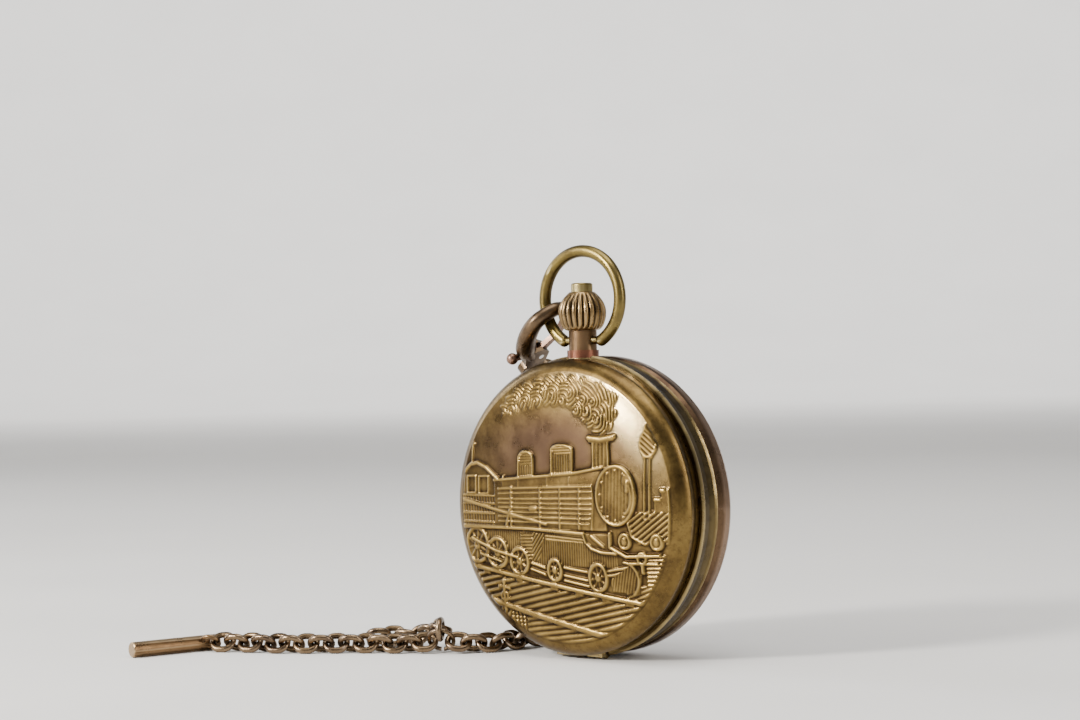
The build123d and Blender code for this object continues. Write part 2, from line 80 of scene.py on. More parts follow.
# ---- materials ----------------------------------------------------------------
class Shader:
    """A node material with a few short ways to add and join nodes."""

    def __init__(self, name):
        self.material = bpy.data.materials.new(name)
        self.material.use_nodes = True
        self.tree = self.material.node_tree
        self.bsdf = self.tree.nodes["Principled BSDF"]
        self.where = self.add("ShaderNodeTexCoord").outputs["Object"]

    def add(self, kind, **values):
        node = self.tree.nodes.new(kind)
        for key, value in values.items():
            setattr(node, key, value)
        return node

    def join(self, out, socket):
        self.tree.links.new(out, socket)

    def noise(self, scale, detail=4.0, rough=0.6):
        node = self.add("ShaderNodeTexNoise")
        node.inputs["Scale"].default_value = scale
        node.inputs["Detail"].default_value = detail
        node.inputs["Roughness"].default_value = rough
        self.join(self.where, node.inputs["Vector"])
        return node.outputs["Fac"]

    def ramp(self, value, *stops):
        """Maps a value to a colour; each stop is a place and its colour."""
        node = self.add("ShaderNodeValToRGB")
        ramp = node.color_ramp
        while len(ramp.elements) < len(stops):
            ramp.elements.new(0.5)
        for element, (at, colour) in zip(ramp.elements, stops):
            element.position = at
            element.color = (*colour, 1)
        self.join(value, node.inputs["Fac"])
        return node.outputs["Color"]

    def grey(self, value, a, b, low, high):
        """Maps a value between a and b to a number between low and high."""
        node = self.add("ShaderNodeMapRange")
        node.inputs["From Min"].default_value = a
        node.inputs["From Max"].default_value = b
        node.inputs["To Min"].default_value = low
        node.inputs["To Max"].default_value = high
        self.join(value, node.inputs["Value"])
        return node.outputs["Result"]

    def mix(self, fac, a, b):
        """Blends two colours, each an RGB tuple or another node's output."""
        node = self.add("ShaderNodeMix", data_type="RGBA")
        self.join(fac, node.inputs[0])
        for socket, colour in ((node.inputs[6], a), (node.inputs[7], b)):
            if isinstance(colour, tuple):
                socket.default_value = (*colour, 1)
            else:
                self.join(colour, socket)
        return node.outputs[2]

    def attribute(self, name):
        return self.add("ShaderNodeAttribute", attribute_name=name).outputs["Fac"]

    def bump(self, value, strength, distance):
        node = self.add("ShaderNodeBump")
        node.inputs["Strength"].default_value = strength
        node.inputs["Distance"].default_value = distance
        self.join(value, node.inputs["Height"])
        self.join(node.outputs["Normal"], self.bsdf.inputs["Normal"])


def antique(name, body, dark, bright, rough, spots=420.0, wear=0.8, bump=0.25):
    """Antique-finished metal with a blotchy patina, dark hollows and fine scratches.

    body, dark and bright are colours; wear is how far sharp edges are worn bright.
    """
    s = Shader(name)
    s.bsdf.inputs["Metallic"].default_value = 1.0
    large = s.noise(spots * 0.35, 5.0, 0.62)
    fine = s.noise(spots * 4.0, 3.0, 0.6)
    colour = s.ramp(large, (0.32, dark), (0.52, body), (0.75, tuple(min(1, c * 1.15) for c in body)))
    speck = s.grey(fine, 0.55, 0.75, 0.0, 0.35)
    colour = s.mix(speck, colour, dark)
    if wear:
        edge = s.add("ShaderNodeNewGeometry").outputs["Pointiness"]
        colour = s.mix(s.grey(edge, 0.51, 0.58, 0.0, wear), colour, bright)
        colour = s.mix(s.grey(edge, 0.49, 0.44, 0.0, 0.8), colour, tuple(c * 0.35 for c in dark))
    colour = s.mix(s.grey(s.attribute("hollow"), 0.0, 1.0, 0.0, 0.9), colour, tuple(c * 0.3 for c in dark))
    s.join(colour, s.bsdf.inputs["Base Color"])
    s.join(s.grey(s.noise(spots * 0.8, 4.0), 0.35, 0.7, rough[0], rough[1]), s.bsdf.inputs["Roughness"])
    s.bump(s.noise(spots * 3.0, 6.0, 0.7), bump, 0.00006)
    return s.material


BAND = antique("band bronze", (0.115, 0.082, 0.034), (0.045, 0.03, 0.016), (0.50, 0.38, 0.18), (0.24, 0.42))
BACK = antique("back bronze", (0.105, 0.064, 0.036), (0.045, 0.027, 0.017), (0.55, 0.37, 0.26), (0.24, 0.42))
BOW = antique("bow brass", (0.175, 0.128, 0.038), (0.08, 0.056, 0.022), (0.48, 0.39, 0.19), (0.26, 0.46))
CHAIN = antique("chain bronze", (0.16, 0.108, 0.06), (0.055, 0.035, 0.023),
                (0.50, 0.37, 0.26), (0.22, 0.42), 700.0)
CLASP = antique("clasp bronze", (0.13, 0.086, 0.05), (0.05, 0.034, 0.023),
                (0.42, 0.31, 0.22), (0.26, 0.46), 600.0, 0.0)
GATE = antique("gate bronze", (0.20, 0.12, 0.085), (0.09, 0.052, 0.037),
               (0.50, 0.35, 0.28), (0.28, 0.46), 600.0, 0.0)
COPPER = antique("copper", (0.22, 0.09, 0.055), (0.10, 0.04, 0.026),
                 (0.50, 0.30, 0.21), (0.28, 0.46), 700.0, 0.0)
BAR = antique("bar bronze", (0.15, 0.088, 0.042), (0.06, 0.035, 0.02),
              (0.50, 0.35, 0.20), (0.24, 0.42), 500.0)
CROWN = antique("crown brass", (0.30, 0.20, 0.092), (0.12, 0.076, 0.036),
                (0.58, 0.43, 0.25), (0.22, 0.38), 500.0, 0.5)
NECK = antique("neck bronze", (0.15, 0.092, 0.048), (0.06, 0.036, 0.02),
               (0.4, 0.28, 0.17), (0.28, 0.48), 500.0, 0.0)
STEEL = antique("steel", (0.52, 0.52, 0.53), (0.34, 0.34, 0.35),
                (0.72, 0.72, 0.73), (0.2, 0.36), 500.0, bump=0.1)
BRIGHT = antique("bright brass", (0.66, 0.50, 0.24), (0.46, 0.33, 0.15),
                 (0.86, 0.72, 0.42), (0.16, 0.3), 500.0, bump=0.1)
WIRE = antique("winding copper", (0.60, 0.27, 0.12), (0.34, 0.14, 0.06),
               (0.82, 0.47, 0.27), (0.25, 0.4), 900.0)


def plain(name, colour, rough, spots=300.0, shade=0.85, bump=0.1):
    """Paint or plastic with a slight mottle and a fine grain."""
    s = Shader(name)
    low = tuple(c * shade for c in colour)
    s.join(s.ramp(s.noise(spots, 5.0), (0.35, low), (0.6, colour)), s.bsdf.inputs["Base Color"])
    s.join(s.grey(s.noise(spots * 2.0), 0.3, 0.7, rough * 0.8, rough * 1.2), s.bsdf.inputs["Roughness"])
    s.bump(s.noise(spots * 8.0, 3.0), bump, 0.00003)
    return s.material


DIAL = plain("dial enamel", (0.86, 0.84, 0.76), 0.32, shade=0.93)
BLACK = plain("black paint", (0.02, 0.02, 0.024), 0.3, shade=0.6)
PLASTIC = plain("movement plastic", (0.055, 0.055, 0.06), 0.5, shade=0.75)


def glass():
    s = Shader("mineral glass")
    s.bsdf.inputs["Base Color"].default_value = (0.95, 0.98, 0.97, 1)
    s.bsdf.inputs["Transmission Weight"].default_value = 1.0
    s.bsdf.inputs["IOR"].default_value = 1.47
    s.join(s.grey(s.noise(500.0), 0.4, 0.8, 0.01, 0.07), s.bsdf.inputs["Roughness"])
    return s.material


GLASS = glass()


def lid_brass():
    """Antique brass that follows the relief: dark hollows, bright worn ridges, brown sky, and a painted
    highlight on the upper right shoulder, which is also polished smoother.
    """
    s = Shader("embossed antique brass")
    s.bsdf.inputs["Metallic"].default_value = 1.0
    blotch = s.noise(170.0, 5.0, 0.65)
    fine = s.noise(1500.0, 4.0, 0.65)
    colour = s.ramp(blotch, (0.32, (0.075, 0.046, 0.017)), (0.5, (0.142, 0.090, 0.029)),
                    (0.70, (0.215, 0.142, 0.046)))
    colour = s.mix(s.grey(fine, 0.48, 0.70, 0.0, 0.55), colour, (0.060, 0.036, 0.014))
    patina = s.mix(blotch, (0.06, 0.034, 0.024), (0.12, 0.072, 0.042))
    colour = s.mix(s.attribute("patina"), colour, patina)
    colour = s.mix(s.grey(s.attribute("hollow"), 0.0, 1.0, 0.0, 0.92), colour, (0.018, 0.010, 0.005))
    colour = s.mix(s.grey(s.attribute("ridge"), 0.0, 1.0, 0.0, 0.75), colour, (0.43, 0.285, 0.085))
    # painted highlight: a brighter brass colour is painted on the upper right shoulder, where the key light's
    # highlight falls; the same spot is also made smoother
    polish_and_highlight = s.attribute("polish_and_highlight")
    colour = s.mix(s.grey(polish_and_highlight, 0.0, 1.0, 0.0, 0.75), colour, (0.60, 0.45, 0.22))
    s.join(colour, s.bsdf.inputs["Base Color"])
    polish = s.add("ShaderNodeMath", operation="MULTIPLY")
    s.join(s.grey(s.noise(350.0, 4.0), 0.35, 0.7, 0.26, 0.38), polish.inputs[0])
    s.join(s.grey(polish_and_highlight, 0.0, 1.0, 1.0, 0.55), polish.inputs[1])
    s.join(polish.outputs["Value"], s.bsdf.inputs["Roughness"])
    s.bump(s.noise(1300.0, 6.0, 0.7), 0.3, 0.00005)
    return s.material


LID = lid_brass()

LOOKS = {
    "case_band": BAND, "back_cover": BACK, "front_cover": LID, "lid_hinge_pin": STEEL, "bezel": BRIGHT,
    "crystal": GLASS, "dial": DIAL, "movement_holder": PLASTIC, "movement_plate": PLASTIC,
    "movement_bridge": BRIGHT, "battery": STEEL, "drive_coil": WIRE, "step_rotor": STEEL, "lid_spring": STEEL,
    "pendant_collar": COPPER, "pendant_neck": NECK, "crown": CROWN, "push_button": BOW, "winding_stem": STEEL,
    "bow": BOW, "clasp_body": CLASP, "clasp_lever": GATE, "clasp_pin": STEEL, "t_bar": BAR,
    "hour_hand": BLACK, "minute_hand": BLACK, "second_hand": BLACK,
}
for name, node in NODES.items():
    node.data.materials.clear()
    node.data.materials.append(LOOKS.get(name, CHAIN))


# ---- meshes ---------------------------------------------------------------------
def piece(name, verts, faces, material, body, smooth=True):
    """A mesh piece in metres that rides on a CAD body."""
    mesh = bpy.data.meshes.new(name)
    mesh.from_pydata([tuple(v) for v in verts], [], faces)
    mesh.validate()
    if smooth:
        mesh.shade_smooth()
    mesh.materials.append(material)
    obj = bpy.data.objects.new(name, mesh)
    bpy.context.scene.collection.objects.link(obj)
    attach(obj, body)
    return obj


def ring_faces(rings, around):
    """Quads between closed rings of equal length."""
    faces = []
    for i in range(rings - 1):
        a, b = i * around, (i + 1) * around
        for j in range(around):
            k = (j + 1) % around
            faces.append((a + j, a + k, b + k, b + j))
    return faces


def smooth_line(points, steps):
    """A curve through points that keeps corners soft: Catmull-Rom with equal steps."""
    p = np.array([points[0], *points, points[-1]], float)
    p[0] = 2 * p[1] - p[2]
    p[-1] = 2 * p[-2] - p[-3]
    out = []
    for i in range(1, len(p) - 2):
        for t in np.arange(0, 1, 1 / steps):
            a = 2 * p[i]
            b = (p[i + 1] - p[i - 1]) * t
            c = (2 * p[i - 1] - 5 * p[i] + 4 * p[i + 1] - p[i + 2]) * t * t
            d = (-p[i - 1] + 3 * p[i] - 3 * p[i + 1] + p[i + 2]) * t ** 3
            out.append((a + b + c + d) / 2)
    out.append(p[-2])
    return np.array(out)


# ---- lid relief -------------------------------------------------------------------
# The relief is drawn in millimetres from the case's centre, as a height field over a square grid.
CASE_Z = 23.5
RELIEF_R = 21.0
CELL = 0.055
SPAN = 22.0
COUNT = int(2 * SPAN / CELL) + 1
AXIS = np.linspace(-SPAN, SPAN, COUNT)
X, Z = np.meshgrid(AXIS, AXIS)
HEIGHT = np.zeros_like(X)


def window(points, pad):
    """The part of the grid that a line through points can touch."""
    px, pz = [q[0] for q in points], [q[1] for q in points]
    cut = []
    for low, high in ((min(pz), max(pz)), (min(px), max(px))):
        start = int((low - pad + SPAN) / CELL)
        stop = int((high + pad + SPAN) / CELL) + 2
        cut.append(slice(max(0, start), max(1, min(COUNT, stop))))
    return tuple(cut)


def far_from(points, cut):
    """Distance from the window's cells to a line through points."""
    x, z = X[cut], Z[cut]
    best = np.full(x.shape, 1e9)
    for (ax, az), (bx, bz) in zip(points[:-1], points[1:]):
        dx, dz = bx - ax, bz - az
        t = np.clip(((x - ax) * dx + (z - az) * dz) / (dx * dx + dz * dz), 0, 1)
        best = np.minimum(best, np.hypot(x - ax - t * dx, z - az - t * dz))
    return best


def ridge(points, width, height, base=None):
    """Rounded ridge along a line; base lifts it on what is already there."""
    cut = window(points, width)
    d = far_from(points, cut) / width
    shape = np.sqrt(np.clip(1 - d * d, 0, None))
    there = HEIGHT[cut]
    if base is None:
        HEIGHT[cut] = np.maximum(there, shape * height)
    else:
        HEIGHT[cut] = np.where(d < 1, np.maximum(there, base + shape * height), there)


def groove(points, width, depth):
    """Rounded channel along a line."""
    cut = window(points, width)
    d = far_from(points, cut) / width
    HEIGHT[cut] -= depth * np.sqrt(np.clip(1 - d * d, 0, None))


def inside(points):
    """Cells inside a closed outline."""
    found = np.zeros(X.shape, bool)
    for (ax, az), (bx, bz) in zip(points, points[1:] + points[:1]):
        crosses = (az > Z) != (bz > Z)
        with np.errstate(divide="ignore", invalid="ignore"):
            at = (bx - ax) * (Z - az) / (bz - az) + ax
        found ^= crosses & (X < at)
    return found


def oval(cx, cz, a, b):
    return ((X - cx) / a) ** 2 + ((Z - cz) / b) ** 2 < 1


def fill(area, height):
    HEIGHT[area] = height


def stripes(area, angle, pitch, low, high, sharp=1.0):
    """Parallel ridges that run at an angle from level."""
    a = math.radians(angle)
    across = -X * math.sin(a) + Z * math.cos(a)
    wave = (0.5 + 0.5 * np.cos(2 * math.pi * across / pitch)) ** sharp
    HEIGHT[area] = (low + (high - low) * wave)[area]


def circle(cx, cz, r, start=0, end=360, squeeze=1.0):
    turns = np.radians(np.linspace(start, end, 49))
    return [(cx + r * squeeze * math.cos(t), cz + r * math.sin(t)) for t in turns]


def wheel(cx, cz, r, spokes, squeeze=0.9):
    """Spoked wheel with a tyre and a hub."""
    fill(oval(cx, cz, r * squeeze * 1.12, r * 1.12), 0.10)
    for i in range(spokes):
        t = math.radians(360 * i / spokes + 12)
        ridge([(cx, cz), (cx + r * squeeze * math.cos(t), cz + r * math.sin(t))], 0.16, 0.14, 0.10)
    ridge(circle(cx, cz, r, squeeze=squeeze), 0.34, 0.24, 0.12)
    ridge(circle(cx, cz, r * 0.16, squeeze=squeeze), 0.34, 0.26, 0.12)


def blur(values, cells):
    """Gaussian blur, one axis after the other."""
    reach = int(3 * cells) + 1
    kernel = np.exp(-0.5 * (np.arange(-reach, reach + 1) / cells) ** 2)
    kernel /= kernel.sum()
    out = np.apply_along_axis(lambda row: np.convolve(row, kernel, "same"), 0, values)
    return np.apply_along_axis(lambda row: np.convolve(row, kernel, "same"), 1, out)


def far_rail(x):
    """Height of the upper, farther rail in the relief's picture."""
    return -9.35 - (x + 20.4) * 0.133


def near_rail(x):
    """Height of the lower, nearer rail."""
    return -14.1 - (x + 19.0) * 0.196


def draw_track():
    """Ground, sleepers and both rails, with a small post in front."""
    radius = np.hypot(X, Z)
    field = radius < RELIEF_R - 0.1
    bed = field & (Z < far_rail(X)) & (Z > near_rail(X))
    stripes(bed, 13, 0.98, 0.04, 0.30, 0.8)
    low = field & (Z <= near_rail(X))
    stripes(low, 8, 0.86, 0.04, 0.27, 0.9)
    stripes(low & (X < -10.6), 52, 0.8, 0.04, 0.24)
    brick = low & (X > -10.6) & (X < -7.4)
    cross = (0.5 + 0.5 * np.cos(2 * math.pi * X / 0.8)) * (0.5 + 0.5 * np.cos(2 * math.pi * Z / 0.62))
    HEIGHT[brick] = (0.06 + 0.26 * cross)[brick]
    side = field & (X > 12.5) & (Z < -11.4) & (Z > far_rail(X))
    stripes(side, 20, 0.7, 0.04, 0.24)
    stripes(field & (X > 16.2) & (Z < -6.6) & (Z > -11.6), 2, 0.62, 0.04, 0.24)
    ridge([(-20.4, -9.35), (15.6, -14.15)], 0.42, 0.26, 0.16)
    groove([(-20.4, -9.85), (15.2, -14.6)], 0.16, 0.12)
    ridge([(-19.0, -14.1), (8.6, -19.5)], 0.50, 0.26, 0.16)
    for x in (-15.5, -8.4, -1.2, 3.6, 8.6, 13.0):
        z = far_rail(x)
        ridge([(x - 0.5, z - 0.5), (x + 0.5, z - 0.62)], 0.3, 0.2, 0.12)
    ridge([(-11.8, -11.6), (-11.8, -16.2)], 0.34, 0.24, 0.16)
    ridge([(-12.9, -12.6), (-10.7, -12.9)], 0.28, 0.2, 0.16)
    ridge(circle(-11.8, -14.2, 0.7), 0.24, 0.2, 0.16)


def draw_right():
    """Column with a leaf-shaped head, a small building and hatched ground."""
    hatch = inside([(13.2, -1.6), (14.6, -0.3), (17.7, 0.1), (20.7, -0.1), (20.4, -4.9), (17.9, -5.3),
                    (14.7, -5.0)])
    stripes(hatch, 36, 0.72, 0.03, 0.27, 0.9)
    fill(inside([(18.1, -0.2), (18.1, 1.9), (19.1, 1.9), (19.1, 3.4), (20.5, 3.2), (20.6, -0.2)]), 0.14)
    ridge([(20.45, 3.3), (20.55, -0.3), (20.3, -4.6)], 0.24, 0.26)
    ridge([(18.1, 1.7), (19.0, 1.7)], 0.34, 0.3)
    ridge([(19.2, 3.1), (19.7, 3.1)], 0.4, 0.32)
    ridge([(18.1, -0.1), (18.1, 1.6)], 0.15, 0.2)
    for x in (16.35, 17.25):
        ridge([(x, 8.3), (x - 0.15, -1.2)], 0.2, 0.26)
    leaf = oval(16.9, 10.1, 1.45, 2.0) | inside([(15.6, 11.0), (16.45, 13.2), (17.0, 12.4), (18.2, 11.0)])
    stripes(leaf, -38, 0.62, 0.12, 0.36)
    edge = circle(16.9, 10.1, 2.0, -235, 50, 0.72)
    ridge([(16.5, 13.1)] + edge + [(17.0, 12.3), (16.5, 13.1)], 0.17, 0.3, 0.08)
    ridge([(16.2, 8.1), (17.5, 8.1)], 0.28, 0.34)


def draw_behind_boiler():
    """Pole, two domes and chimney; the cab and the boiler are drawn over their feet."""
    ridge([(-18.4, 6.0), (-18.2, 13.7)], 0.17, 0.24)
    ridge([(-18.9, 9.6), (-17.9, 9.8)], 0.13, 0.2)
    for cx, half, low, high, rise in ((-6.5, 1.5, 4.3, 7.5, 1.2), (0.85, 2.05, 5.0, 9.0, 0.75)):
        body = inside([(cx - half, low), (cx - half, high), (cx + half, high), (cx + half, low)])
        stripes(body, 90, 0.5, 0.22, 0.34)
        cap = oval(cx, high, half, rise)
        stripes(cap & (Z > high - 0.9), 3, 0.42, 0.24, 0.38)
        arch = circle(cx, high, rise, 180, 0, half / rise)
        ridge([(cx - half, low)] + arch + [(cx + half, low)], 0.2, 0.26, 0.16)
        ridge([(cx - half - 0.2, low + 0.2), (cx + half + 0.3, low + 0.35)], 0.24, 0.3, 0.12)
    stem = inside([(7.0, 6.2), (6.9, 10.3), (9.7, 10.3), (9.9, 6.2)])
    stripes(stem, 90, 0.7, 0.22, 0.34)
    ridge([(6.9, 10.3), (7.0, 6.3)], 0.2, 0.3, 0.08)
    ridge([(9.7, 10.3), (9.9, 6.4)], 0.2, 0.3, 0.08)
    fill(inside([(6.0, 10.2), (6.1, 11.1), (10.7, 11.4), (10.8, 10.5), (8.3, 10.0)]), 0.34)
    ridge([(6.1, 10.9), (8.3, 10.6), (10.8, 11.1)], 0.42, 0.26, 0.26)


def draw_cab():
    """Cab with a curved roof, two windows and a planked side."""
    cab = [(-20.6, -3.0), (-20.4, 4.9), (-18.6, 6.4), (-17.0, 6.7), (-15.1, 6.0), (-12.3, 4.2), (-12.2, -3.0)]
    fill(inside(cab), 0.15)
    stripes(inside([(-20.6, -3.0), (-20.6, 1.6), (-12.3, 1.6), (-12.3, -3.0)]), 90, 0.62, 0.12, 0.26)
    for z in (-2.6, -1.2, 0.3, 1.6):
        ridge([(-20.4, z), (-12.3, z)], 0.17, 0.16, 0.2)
    ridge([(-20.4, 5.2), (-18.6, 6.5), (-17.0, 6.8), (-15.1, 6.1), (-12.2, 4.1)], 0.32, 0.26, 0.16)
    for x0, x1 in ((-19.4, -17.5), (-16.7, -14.6)):
        fill(inside([(x0, 1.9), (x0, 4.6), (x1, 4.7), (x1, 2.0)]), 0.05)
        ridge([(x0, 1.9), (x0, 4.6), (x1, 4.7), (x1, 2.0), (x0, 1.9)], 0.15, 0.2, 0.14)


def draw_boiler():
    """Banded drum, rounder towards its middle."""
    top = 4.05 + np.clip(X + 12.2, 0, 30) * 0.105
    drum = (X > -13.2) & (X < 8.9) & (Z < top) & (Z > -3.3)
    swell = np.sqrt(np.clip(1 - ((Z - 0.9) / 4.9) ** 2, 0, 1))
    HEIGHT[drum] = (0.12 + 0.16 * swell)[drum]
    ridge([(-13.2, 4.1), (2.7, 5.4), (8.6, 6.4)], 0.26, 0.2, 0.22)
    for z0, z1, x1, w in ((2.9, 3.5, 6.6, 0.24), (2.1, 2.7, 6.6, 0.17), (1.2, 1.6, 6.5, 0.2),
                          (0.55, 0.75, 6.5, 0.15), (-0.15, 0.0, 6.5, 0.2), (-0.85, -0.75, 6.4, 0.15),
                          (-1.6, -1.5, 6.2, 0.2), (-2.4, -2.3, 6.0, 0.16)):
        ridge([(-12.2, z0 * 0.96), (x1, z1)], w, 0.18, 0.24)
    for x in (-9.6, -3.6, 0.4, 4.2):
        ridge([(x, -3.0), (x + 0.1, 3.1)], 0.22, 0.14, 0.28)
    for x in (-11.4, -8.2, -2.2, 2.2):
        ridge([(x, 3.3), (x + 0.1, 4.8)], 0.14, 0.12, 0.2)
    fill(inside([(6.6, -3.2), (6.7, 3.4), (7.4, 5.6), (9.4, 6.2), (9.4, -3.2)]), 0.2)
    ridge([(6.6, -3.1), (6.9, 1.0), (6.7, 3.5)], 0.2, 0.2, 0.16)


def draw_rods():
    """Rods and steps in front of the boiler."""
    ridge([(-20.2, 0.9), (-9.5, -1.2), (-2.4, -2.5)], 0.3, 0.2, 0.26)
    ridge([(-10.6, -2.9), (-9.8, -0.4)], 0.26, 0.2, 0.26)
    ridge([(-5.4, -0.2), (-4.6, -0.2)], 0.5, 0.2, 0.26)


def draw_smokebox():
    """Round front with its door and a ring of bolts."""
    fill(oval(11.1, 2.2, 3.75, 4.75), 0.24)
    stripes(oval(11.1, 2.2, 3.2, 4.2), 88, 0.62, 0.24, 0.34, 0.6)
    ridge(circle(11.1, 2.2, 4.45, squeeze=0.78), 0.3, 0.24, 0.22)
    ridge(circle(12.6, 2.0, 2.6, -80, 80, 0.55), 0.26, 0.2, 0.28)
    fill(oval(13.2, 4.6, 0.75, 0.95), 0.40)
    ridge([(13.3, 4.2), (13.3, 3.0)], 0.42, 0.24, 0.28)
    for t in range(0, 360, 30):
        a = math.radians(t)
        bolt_x, bolt_z = 11.1 + 2.9 * math.cos(a), 2.2 + 3.8 * math.sin(a)
        ridge([(bolt_x, bolt_z), (bolt_x + 0.02, bolt_z)], 0.22, 0.14, 0.3)


def draw_running_gear():
    """Wheels, coupling rods, footplate, springs and what hangs below the smokebox."""
    shade = inside([(-20.5, -3.6), (5.0, -3.9), (6.2, -6.0), (11.0, -6.9), (11.2, -8.8), (-20.5, -9.0)])
    stripes(shade, 90, 0.46, 0.02, 0.17)
    stripes(inside([(-3.0, -4.0), (4.9, -4.1), (5.4, -5.2), (-2.6, -5.1)]), -3, 0.5, 0.06, 0.24)
    left = inside([(-7.9, -4.0), (-5.4, -4.0), (-5.4, -8.3), (-7.6, -8.3)])
    stripes(left, 2, 0.52, 0.05, 0.24)
    stripes(inside([(-5.4, -4.0), (-3.0, -4.1), (-4.0, -8.2), (-5.4, -8.3)]), 52, 0.52, 0.05, 0.24)
    wheel(-17.4, -6.3, 2.7, 10)
    wheel(-12.9, -7.4, 2.3, 9)
    wheel(-8.2, -8.5, 2.0, 8)
    wheel(-1.0, -9.6, 1.6, 8, 0.8)
    wheel(7.4, -10.4, 2.05, 8, 0.78)
    ridge([(-18.4, -5.2), (-13.2, -7.0), (-8.4, -7.9)], 0.3, 0.22, 0.3)
    ridge([(-16.6, -7.6), (-12.0, -8.7)], 0.22, 0.2, 0.3)
    for z0, z1, x0, x1 in ((-8.7, -9.3, -5.6, -3.0), (-9.6, -10.3, -5.8, -3.0), (-9.1, -9.6, 0.9, 5.3),
                           (-10.3, -10.9, 0.9, 5.3), (-11.1, -11.8, 0.9, 5.6), (-9.3, -8.7, 9.4, 12.8),
                           (-10.0, -9.5, 9.4, 12.8)):
        ridge([(x0, z0), (x1, z1)], 0.27, 0.24, 0.06)
    plough = inside([(9.6, -10.6), (13.6, -8.2), (15.4, -9.4), (15.0, -12.6), (10.0, -12.4)])
    stripes(plough, 78, 0.5, 0.04, 0.22)
    ridge(circle(12.3, -10.6, 2.7, -50, 90, 0.95), 0.28, 0.24, 0.08)
    ridge([(-20.5, -3.35), (-6.0, -3.3), (4.9, -3.75)], 0.34, 0.26, 0.2)
    ridge([(4.9, -3.75), (5.3, -5.0), (6.4, -6.0), (8.2, -6.5), (10.9, -6.6)], 0.3, 0.24, 0.18)
    fill(inside([(5.0, -3.7), (5.6, -5.2), (8.0, -6.2), (9.9, -6.2), (9.9, -3.7)]), 0.16)
    ridge([(6.4, -4.1), (8.6, -5.6)], 0.34, 0.2, 0.16)
    ridge([(9.9, -3.6), (9.9, -5.7), (12.8, -7.0), (18.7, -6.7)], 0.32, 0.26, 0.18)
    ridge([(13.3, -2.0), (14.0, -4.0), (16.2, -5.0)], 0.24, 0.22, 0.14)
    for cx, cz in ((12.6, -4.7), (18.3, -4.7)):
        fill(oval(cx, cz, 1.25, 1.35), 0.22)
        ridge(circle(cx, cz, 1.05, squeeze=0.85), 0.28, 0.24, 0.2)
        fill(oval(cx, cz, 0.5, 0.65), 0.46)
    ridge(circle(15.6, -7.2, 0.8, squeeze=0.9), 0.3, 0.26, 0.14)
    ridge([(15.6, -8.0), (15.7, -9.3)], 0.32, 0.26, 0.14)
    ridge([(13.4, -8.0), (18.3, -8.0)], 0.3, 0.22, 0.12)


def draw_smoke():
    """Curls from the chimney up to the rim and back along it, the nearest drawn last."""
    puffs = [(-10.9, 15.4, 1.2), (-9.4, 16.4, 1.7), (-7.6, 17.3, 2.0), (-5.7, 17.6, 2.2), (-3.7, 17.9, 2.3),
             (-1.8, 18.1, 2.3), (0.2, 18.1, 2.5), (2.3, 17.9, 2.6), (4.2, 17.4, 2.8), (5.0, 15.4, 2.0),
             (6.6, 17.3, 2.5), (6.7, 14.2, 1.9), (8.6, 16.2, 2.5), (8.9, 14.2, 2.2), (8.3, 12.8, 1.7)]
    for i, (cx, cz, r) in enumerate(puffs):
        strength = 0.5 + 0.5 * i / len(puffs)
        turn = math.radians(232 - 5 * i + 22 * math.sin(2.1 * i))
        reach = 0.85 * r
        ox, oz = cx + reach * math.cos(turn), cz + reach * math.sin(turn)
        d = np.hypot(X - ox, Z - oz)
        wobble = 0.10 * np.sin(1.7 * X + 1.1 * i) + 0.08 * np.sin(2.3 * Z + i)
        lines = 0.5 + 0.5 * np.cos(2 * math.pi * (d + wobble) / (0.56 + 0.03 * (i % 3)))
        depth = r - np.hypot(X - cx, Z - cz) + 0.35 * np.sin(5 * np.arctan2(Z - cz, X - cx) + i)
        soft = np.clip(depth / 0.5, 0, 1)
        drawn = 0.03 + 0.27 * strength * lines * (0.3 + 0.7 * soft)
        area = depth > 0
        HEIGHT[area] = np.maximum(HEIGHT * (1 - soft), drawn)[area]


draw_smoke()
draw_right()
draw_track()
draw_behind_boiler()
draw_cab()
draw_boiler()
draw_rods()
draw_smokebox()
draw_running_gear()
EDGE = np.clip((RELIEF_R - np.hypot(X, Z)) / 0.5, 0, 1)
HEIGHT = blur(HEIGHT, 1.1) * EDGE
WIDE = blur(HEIGHT, 7.0)
FINE_RELIEF = HEIGHT - WIDE
SKY = np.clip(1 - blur((HEIGHT > 0.05).astype(float), 10.0) * 1.1, 0, 1)


def sampled(field, x, z):
    """Values of a field at points, between its cells."""
    u = np.clip((np.asarray(x) + SPAN) / CELL, 0, COUNT - 1.001)
    v = np.clip((np.asarray(z) + SPAN) / CELL, 0, COUNT - 1.001)
    i, j = u.astype(int), v.astype(int)
    fu, fv = u - i, v - j
    top = field[j, i] * (1 - fu) + field[j, i + 1] * fu
    low = field[j + 1, i] * (1 - fu) + field[j + 1, i + 1] * fu
    return top * (1 - fv) + low * fv


# ---- lid ------------------------------------------------------------------------
AROUND = 960
RELIEF_RINGS = 168
LID_BACK_Y = -4.8
# the rim stops short here, to leave room for the hinge
HINGE_GAP_HALF = 4.6
HINGE_GAP_TOP = 1.7
HINGE_GAP_Y = -0.5


def dome_y(r):
    """Depth of the front's smooth dome at a radius."""
    return -5.6 + 0.00142 * r * r + 2.6e-6 * r ** 4


